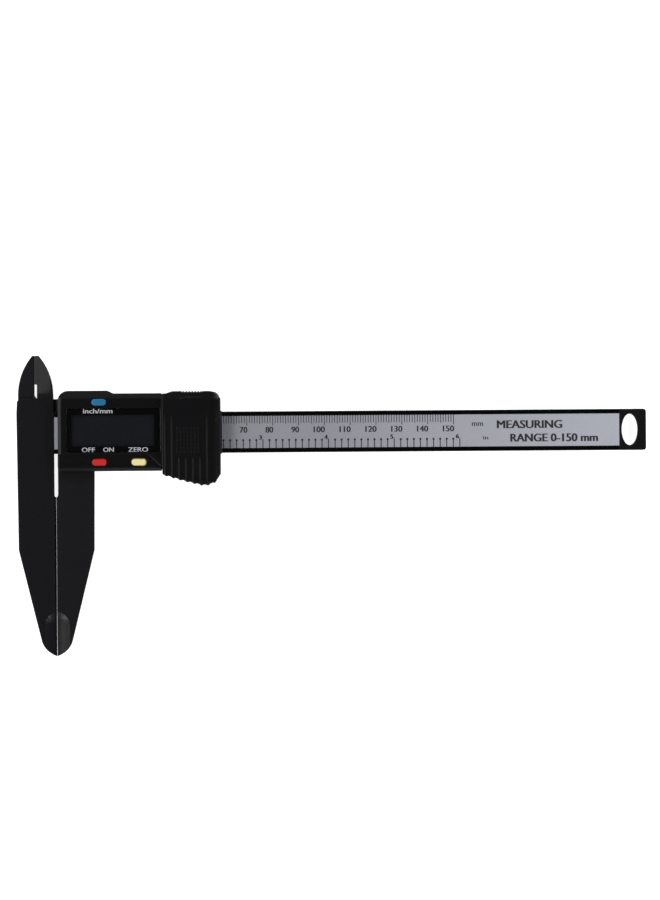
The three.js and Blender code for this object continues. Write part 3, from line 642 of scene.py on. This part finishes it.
# ------------------------------------------------------------------ printed scale
ZERO_X = 3.9  # the scale's zero line
PRINT = (LABEL_TOP - 0.01, LABEL_TOP + 0.02)  # the ink's foot and top
INCH = 25.4
TRAVEL_MM, TRAVEL_INCHES = 150, 6
TICK_LENGTHS = {"ten": 3.7, "five": 3.1, "one": 2.8}
TICK_WIDTH = 0.28
INCH_TICK_WIDTH = 0.36
INCH_TICK_TOP, TENTH_TICK_TOP = -2.8, -3.4
TENTH_DOT = {"y": -3.15, "radius": 0.44}
DIGIT_WIDTH = 1.36  # of the millimetre figures
WORDS = (  # each with its x, y, height, width and weight
    ("mm", 161, 1.7, 1.4, 4.2, 0.06),
    ("in", 165.3, -3.5, 1.4, 1.9, 0.06),
    ("MEASURING", 170.6, 0.75, 3.1, 25, 0.2),
    ("RANGE 0-150 mm", 175.8, -4.45, 3.1, 33.6, 0.2),
)


def print_ticks(made):
    half = TICK_WIDTH / 2
    for n in range(TRAVEL_MM + 1):
        length = TICK_LENGTHS["ten" if n % 10 == 0 else "five" if n % 5 == 0 else "one"]
        x = ZERO_X + n
        block(made, x - half, x + half, LABEL_HALF - length, LABEL_HALF, *PRINT)
    half = INCH_TICK_WIDTH / 2
    for n in range(10 * TRAVEL_INCHES + 1):
        whole = n % 10 == 0
        x = ZERO_X + n * INCH / 10
        block(made, x - half, x + half, -LABEL_HALF, INCH_TICK_TOP if whole else TENTH_TICK_TOP, *PRINT)
        if not whole:
            disc(made, x, TENTH_DOT["y"], TENTH_DOT["radius"], *PRINT)


def print_numbers(made):
    for n in range(0, TRAVEL_MM + 1, 10):
        width = DIGIT_WIDTH * len(str(n)) + 0.1
        letter(made, str(n), ZERO_X + n, -0.3, 2.3, *PRINT, width, "right", 0.12)
    for n in range(1, TRAVEL_INCHES + 1):
        letter(made, str(n), ZERO_X + n * INCH - 0.6, -3, 1.7, *PRINT, 1, "right", 0.16)
    for text, x, y, height, width, weight in WORDS:
        letter(made, text, x, y, height, *PRINT, width, weight=weight)


def add_scale_print():
    made = bmesh.new()
    print_ticks(made)
    print_numbers(made)
    add_piece("scale_print", mesh_from("scale_print", made), "beam", PRINT_INK)


# ------------------------------------------------------------------ display window
VIEW_X, VIEW_Y = (6, 38.1), (-5.2, 7)  # the part of the window left clear
MASK_INSET = 0.05  # from the pane's edges
MASK_DEPTHS = (0.04, 0.02)  # the mask's foot and top, below the pane
LEGEND_DEPTHS = (0.015, 0.005)
LEGENDS = (  # each with its x, y, height and width
    ("inch/mm", 10.65, 7.6, 1.85, 11.3),
    ("OFF", 10.1, -7.35, 1.75, 5),
    ("ON", 18.35, -7.35, 1.75, 4.05),
    ("ZERO", 28, -7.35, 1.75, 7.6),
)


def add_window():
    pane = moulded("display_window", "window_pane", "slider", PANE, "window", 0.12, 2)
    pane.visible_shadow = False
    low, high = design_box("display_window")
    back = low[2]
    x0, y0 = low[0] + MASK_INSET, low[1] + MASK_INSET
    x1, y1 = high[0] - MASK_INSET, high[1] - MASK_INSET
    layer = [back - depth for depth in MASK_DEPTHS]
    made = bmesh.new()
    block(made, x0, x1, y0, VIEW_Y[0], *layer)
    block(made, x0, x1, VIEW_Y[1], y1, *layer)
    block(made, x0, VIEW_X[0], *VIEW_Y, *layer)
    block(made, VIEW_X[1], x1, *VIEW_Y, *layer)
    add_piece("window_mask", mesh_from("window_mask", made), "slider", MASK_INK)
    layer = [back - depth for depth in LEGEND_DEPTHS]
    made = bmesh.new()
    for text, x, y, height, width in LEGENDS:
        letter(made, text, x, y, height, *layer, width, weight=0.05)
    add_piece("window_legends", mesh_from("window_legends", made), "slider", LEGEND_INK)


DIGITS = {"count": 5, "x": 9.2, "y": -2.8, "pitch": 5.1, "width": 3, "height": 7.4}
SEGMENT_HALF, SEGMENT_GAP = 0.09, 0.06  # shares of a digit's width
SEGMENT_LEAN = 0.1
POINT = {"x": 33.2, "radius": 0.3}
UNITS = (("mm", 33.9, -2.9, 2.6), ("in", 33.9, 3.4, 1.6))  # each with its x, y and width
UNIT_HEIGHT = 1.5


def seven_segments(made, x, y, width, height, z0, z1):
    """The unlit segments of one digit, leaning a little as display digits do."""
    half, gap = width * SEGMENT_HALF, width * SEGMENT_GAP

    def bar(ax, ay, bx, by):
        along = Vector((bx - ax, by - ay, 0)).normalized()
        side = Vector((-along.y, along.x, 0)) * half
        start, end = Vector((ax, ay, 0)) + along * gap, Vector((bx, by, 0)) - along * gap
        outline = [start, start + along * half + side, end - along * half + side]
        outline += [end, end - along * half - side, start + along * half - side]
        rings = []
        for z in (z0, z1):
            rings.append([made.verts.new((p.x + SEGMENT_LEAN * (p.y - y), p.y, z)) for p in outline])
        made.faces.new(rings[1])
        made.faces.new(list(reversed(rings[0])))
        for i in range(6):
            j = (i + 1) % 6
            made.faces.new((rings[0][i], rings[0][j], rings[1][j], rings[1][i]))

    middle = y + height / 2
    for level in (y, middle, y + height):
        bar(x, level, x + width, level)
    for edge in (x, x + width):
        bar(edge, y, edge, middle)
        bar(edge, middle, edge, y + height)


def add_display_segments():
    high = design_box("lcd_panel")[1]
    layer = (high[2] + 0.005, high[2] + 0.02)
    made = bmesh.new()
    for n in range(DIGITS["count"]):
        x = DIGITS["x"] + n * DIGITS["pitch"]
        seven_segments(made, x, DIGITS["y"], DIGITS["width"], DIGITS["height"], *layer)
    disc(made, POINT["x"], DIGITS["y"], POINT["radius"], *layer)
    for text, x, y, width in UNITS:
        letter(made, text, x, y, UNIT_HEIGHT, *layer, width)
    add_piece("display_segments", mesh_from("display_segments", made), "slider", LCD_INK)


# ------------------------------------------------------------------ battery cover
# The cover's two long edges as (x, y) points, and the height of its back across the beam as (y, z) points.
COVER_LOW_EDGE = [(41.2, -16.3), (50, -18.9), (56.4, -20.45), (58.6, -20.5)]
COVER_LOW_EDGE += [(61.6, -19.4), (62.7, -18.1), (63.8, -16.2)]
COVER_TOP_EDGE = [(41.2, 15.2), (42.4, 15.2), (45.2, 16.08), (59.6, 16.08)]
COVER_TOP_EDGE += [(61.3, 15.75), (62.4, 15.05), (63.8, 13.1)]
COVER_CROWN = [(-20.2, 14.9), (-18.4, 15.25), (-12, 14.75), (-7, 14.5), (-1.5, 14.5)]
COVER_CROWN += [(3.6, 14.75), (8.4, 15.2), (12.9, 15.3), (14, 14.95), (16, 14.6)]
EDGE_WINDOWS = {"low": 0.5, "top": 0.4, "crown": 0.7}  # how softly the three turn their corners
EDGE_INSETS = {"low": 0.18, "top": 0.07}  # from the two edges to the middle of their pattern
COVER_GRID = (150, 170)  # points along and across
COVER_RIM = 0.6  # the radius of the long edges
FRONT_EDGE = 0.12  # the radius of the edge beside the housing
END_ROLL = {"length": 4.6, "drop": 1.3}  # how the back rolls down towards its end
COVER_RIBS = {"first": 42.6, "last": 7, "pitch": 2.72, "half": 0.9, "height": 0.1}
RIB_TOP = {"y": 7, "fade": 1.4}  # where the ribs die away beyond the pad
SCALLOP = {"half": 1.05, "depth": 0.44}
KNURL = {"x": (46.6, 56.2), "y": (-8.2, 2.7), "pitch": (1.36, 1.5), "height": 0.085}
PAD_MARGIN = {"x": (0.3, 1.2), "y": 1.2, "fade": 0.8}  # the ribs keep this far from the pad
COMB = {"x": (48.9, 56.95), "pitch": 1.15, "half": 0.46, "height": 0.56, "root": 0.42}
LIP = {"x": (48.2, 56.2), "y": 13.4, "half": 0.42, "height": 0.46}
CELL_ROOM = (40, 62.4, -13.25, 14.05, 6, 13.4)  # x, y and z from and to
THUMB_ROOM = [(42.6, -14.9), (57.8, -18.6), (60.8, -18), (61.7, -16.6), (61.7, -14.4), (42.6, -14.4)]
THUMB_ROOM_HEIGHTS = (6, 12.6)
COVER_RAIL = {"x": (42.2, 61.9), "sides": ((-13.45, -12.35), (13.15, 14.25)), "z": (8, 8.7)}


def eased(points, at, window):
    """A polyline's value at some places, averaged over a window so that its corners are round."""
    xs, ys = zip(*points)
    offsets = np.linspace(-window, window, 9)
    return np.mean([np.interp(at + offset, xs, ys) for offset in offsets], axis=0)


def edge_drop(distance, radius, depth):
    """How far an edge of that radius falls at a distance inside it."""
    t = np.clip(1 - distance / radius, 0, 1)
    return depth * (1 - np.sqrt(1 - t**2))


def ridge(offset, half, height):
    """A rounded ridge's height at an offset from its middle."""
    t = np.clip(np.abs(offset) / half, 0, 1)
    return height * (1 + np.cos(math.pi * t)) / 2


def nearest_rib(x):
    """Each place's offset from the nearest finger rib's middle."""
    turn = np.round((x - COVER_RIBS["first"]) / COVER_RIBS["pitch"])
    return x - COVER_RIBS["first"] - COVER_RIBS["pitch"] * np.clip(turn, 0, COVER_RIBS["last"])


def studs(x, y):
    """The pad's studs over a grid of places."""
    pitch_x, pitch_y = KNURL["pitch"]
    across = (x - KNURL["x"][0]) % pitch_x - pitch_x / 2
    along = (y - KNURL["y"][0]) % pitch_y - pitch_y / 2
    return ridge(across, pitch_x / 2, 1) * ridge(along, pitch_y / 2, 1) * KNURL["height"]


def cover_pattern(x, y):
    """What stands up from the grip's back: finger ribs, the studded pad between them and the thumb lip."""
    (pad_x0, pad_x1), (pad_y0, pad_y1) = KNURL["x"], KNURL["y"]
    left, right = PAD_MARGIN["x"]
    above_ribs = np.clip((RIB_TOP["y"] - y) / RIB_TOP["fade"], 0, 1)
    below_pad = np.clip((pad_y0 - PAD_MARGIN["y"] - y) / PAD_MARGIN["fade"], 0, 1)
    beside_pad = (x > pad_x0 - left) & (x < pad_x1 + right)
    ribs = ridge(nearest_rib(x), COVER_RIBS["half"], COVER_RIBS["height"])
    ribs = ribs * np.where(beside_pad, below_pad, above_ribs)
    on_pad = (x > pad_x0) & (x < pad_x1) & (y > pad_y0) & (y < pad_y1)
    pattern = np.where(on_pad, studs(x, y), ribs)
    lip = ridge(y - LIP["y"], LIP["half"], LIP["height"])
    on_lip = (x > LIP["x"][0]) & (x < LIP["x"][1])
    return np.where(on_lip, np.maximum(pattern, lip), pattern)


def cover_surface(x, low, top, y):
    """The grip's height over a grid of places."""
    crown = eased(COVER_CROWN, y, EDGE_WINDOWS["crown"])
    roll = edge_drop(x.max() - x, END_ROLL["length"], END_ROLL["drop"])
    from_rim = np.minimum(y - low, top - y)
    rim = edge_drop(from_rim, COVER_RIM, COVER_RIM)
    fall = np.maximum(rim, edge_drop(x - x.min(), FRONT_EDGE, FRONT_EDGE))
    return crown - COVER_RIBS["height"] + cover_pattern(x, y) - roll - fall


def cover_edges(x, y0, y1):
    """The y of the cover's scalloped low edge and of its top edge with the comb, at each x."""
    scallop = ridge(nearest_rib(x), SCALLOP["half"], SCALLOP["depth"])
    low = eased(COVER_LOW_EDGE, x, EDGE_WINDOWS["low"]) - scallop + EDGE_INSETS["low"]
    (start, end), pitch = COMB["x"], COMB["pitch"]
    tooth = ridge((x - start) % pitch - pitch / 2, COMB["half"], COMB["height"])
    comb = (tooth - COMB["root"]) * ((x > start) & (x < end))
    top = eased(COVER_TOP_EDGE, x, EDGE_WINDOWS["top"]) + comb - EDGE_INSETS["top"]
    return np.maximum(low, y0), np.minimum(top, y1)


def cover_outer():
    """The cover's outside as a closed solid, before it is hollowed."""
    (x0, y0, z0), (x1, y1, z1) = design_box("battery_cover")
    columns, rows = COVER_GRID
    x = np.linspace(x0, x1, columns)[:, None] * np.ones((1, rows))
    low, top = cover_edges(x, y0, y1)
    even = np.linspace(0, 1, rows)
    crowded = (1 - np.cos(math.pi * even)) / 2  # closer together at both edges
    y = low + (top - low) * (0.3 * crowded + 0.7 * even)[None, :]
    z = np.minimum(cover_surface(x, low, top, y), z1)
    made = bmesh.new()
    upper = [[made.verts.new((x[i, j], y[i, j], z[i, j])) for j in range(rows)] for i in range(columns)]
    for i in range(columns - 1):
        for j in range(rows - 1):
            made.faces.new((upper[i][j], upper[i + 1][j], upper[i + 1][j + 1], upper[i][j + 1]))
    rim = [upper[i][0] for i in range(columns)]
    rim += [upper[-1][j] for j in range(1, rows)]
    rim += [upper[i][-1] for i in reversed(range(columns - 1))]
    rim += [upper[0][j] for j in reversed(range(1, rows - 1))]
    foot = [made.verts.new((v.co.x, v.co.y, z0)) for v in rim]
    for i in range(len(rim)):
        j = (i + 1) % len(rim)
        made.faces.new((rim[i], foot[i], foot[j], rim[j]))
    made.faces.new(foot)
    return made


def prism(made, outline, z0, z1):
    """Adds an upright prism on an outline."""
    rings = [[made.verts.new((x, y, z)) for x, y in outline] for z in (z0, z1)]
    made.faces.new(list(reversed(rings[0])))
    made.faces.new(rings[1])
    for i in range(len(outline)):
        j = (i + 1) % len(outline)
        made.faces.new((rings[0][i], rings[0][j], rings[1][j], rings[1][i]))


def hollow(piece, cutters):
    """Cuts closed shapes out of a piece, for good."""
    for made in cutters:
        tool = bpy.data.objects.new("tool", mesh_from("tool", made))
        scene.collection.objects.link(tool)
        cut = piece.modifiers.new("cut", "BOOLEAN")
        cut.operation = "DIFFERENCE"
        cut.solver = "EXACT"
        cut.object = tool
        apply_modifiers(piece)
        bpy.data.objects.remove(tool)


def add_battery_cover():
    mesh = mesh_from("battery_cover_shell", cover_outer())
    cover = add_piece(
        "battery_cover_shell", mesh, "battery_cover", COVER_PLASTIC, ["battery_cover"]
    )
    cell_room = bmesh.new()
    block(cell_room, *CELL_ROOM)
    thumb_room = bmesh.new()
    prism(thumb_room, THUMB_ROOM, *THUMB_ROOM_HEIGHTS)
    hollow(cover, [cell_room, thumb_room])
    mark_smooth(cover.data, 50)
    made = bmesh.new()
    for side in COVER_RAIL["sides"]:
        block(made, *COVER_RAIL["x"], *side, *COVER_RAIL["z"])
    mesh = mesh_from("cover_rails", made)
    rails = add_piece("cover_rails", mesh, "battery_cover", COVER_PLASTIC)
    round_edges(rails, 0.1, 2)


# ------------------------------------------------------------------ CAD nodes that stay
def paint(node, material):
    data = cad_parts[node].data
    data.materials.clear()
    data.materials.append(material)


def paint_inner_parts():
    paint("end_wiper", WIPER_FELT)
    paint("scale_label", LABEL_FILM)
    paint("scale_stator_board", BOARD_GREEN)
    paint("main_board", BOARD_GREEN)
    paint("gib_spring", SPRING)
    paint("lcd_panel", LCD_GLASS)
    paint("lcd_holder", HOUSING_PLASTIC)
    paint("chip_epoxy_drop", EPOXY)
    for number in (1, 2):
        paint(f"zebra_strip_{number}", SOFT_RUBBER)
        paint(f"capacitor_{number}", CERAMIC)
    for key in ("unit", "power", "zero"):
        paint(f"{key}_button_pad", SOFT_RUBBER)
    for side in ("positive", "negative"):
        paint(f"battery_contact_{side}", SPRING)


RAIL_END = 219  # beyond this the beam's edges are crisp again
RAIL_EDGE_HEIGHT = 5  # the rails' top edges are above this
KEY_TOP_HEIGHT = 12.3  # a key's flange is below this
BLOCK_START, BLOCK_HEIGHT = 40.5, 12.5  # the battery block is beyond this x, its top above this height


def rail_share(start, end):
    """The beam's rails have round tops beside the label; its other edges are crisper."""
    along = min(start.x, end.x) > 0 and max(start.x, end.x) < RAIL_END
    on_rail = along and abs(start.y - end.y) < 0.01 and min(start.z, end.z) > RAIL_EDGE_HEIGHT
    return 1 if on_rail else 0.4


def key_share(start, end):
    """A key's top is domed, and its hidden flange is not."""
    return 1 if min(start.z, end.z) > KEY_TOP_HEIGHT else 0.1


def housing_share(start, end):
    """The step up to the battery block hides under the cover's edge and stays sharp."""
    by_cover = min(start.x, end.x) > BLOCK_START and min(start.z, end.z) > BLOCK_HEIGHT
    return 0.2 if by_cover else 1


KEYS = (  # each with its slot and material
    ("unit", "blue_key", BLUE_KEY),
    ("power", "red_key", RED_KEY),
    ("zero", "yellow_key", YELLOW_KEY),
)


def add_moulded_parts():
    moulded("main_beam", "beam_body", "beam", BEAM_PLASTIC, "black_body", 0.6, 4, rail_share)
    moulded("sliding_jaw_frame", "slider_body", "slider", BODY_PLASTIC, "black_body", 0.22)
    housing = ("display_housing", "housing_shell", "slider", HOUSING_PLASTIC, "black_housing")
    moulded(*housing, 0.25, share=housing_share)
    moulded("button_cell", "coin_cell", "slider", CELL_CAN, "cell_can", 0.25)
    moulded("travel_stop_screw", "stop_screw", "beam", ZINC, "steel", 0.12, 2)
    for number in range(1, 5):
        moulded(f"case_screw_{number}", f"housing_screw_{number}", "slider", ZINC, "steel", 0.12, 2)
    for number in range(1, 3):
        moulded(f"board_screw_{number}", f"circuit_screw_{number}", "slider", ZINC, "steel", 0.12, 2)
    for key, slot, material in KEYS:
        moulded(f"{key}_button", f"{key}_key", f"{key}_button", material, slot, 0.45, 5, key_share)


# ------------------------------------------------------------------ the whole scene
add_camera()
add_lights()
add_table()
paint_inner_parts()
add_moulded_parts()
add_battery_cover()
add_window()
add_display_segments()
add_scale_print()


def corners(bounds):
    return [[float(value) for value in corner] for corner in bounds]
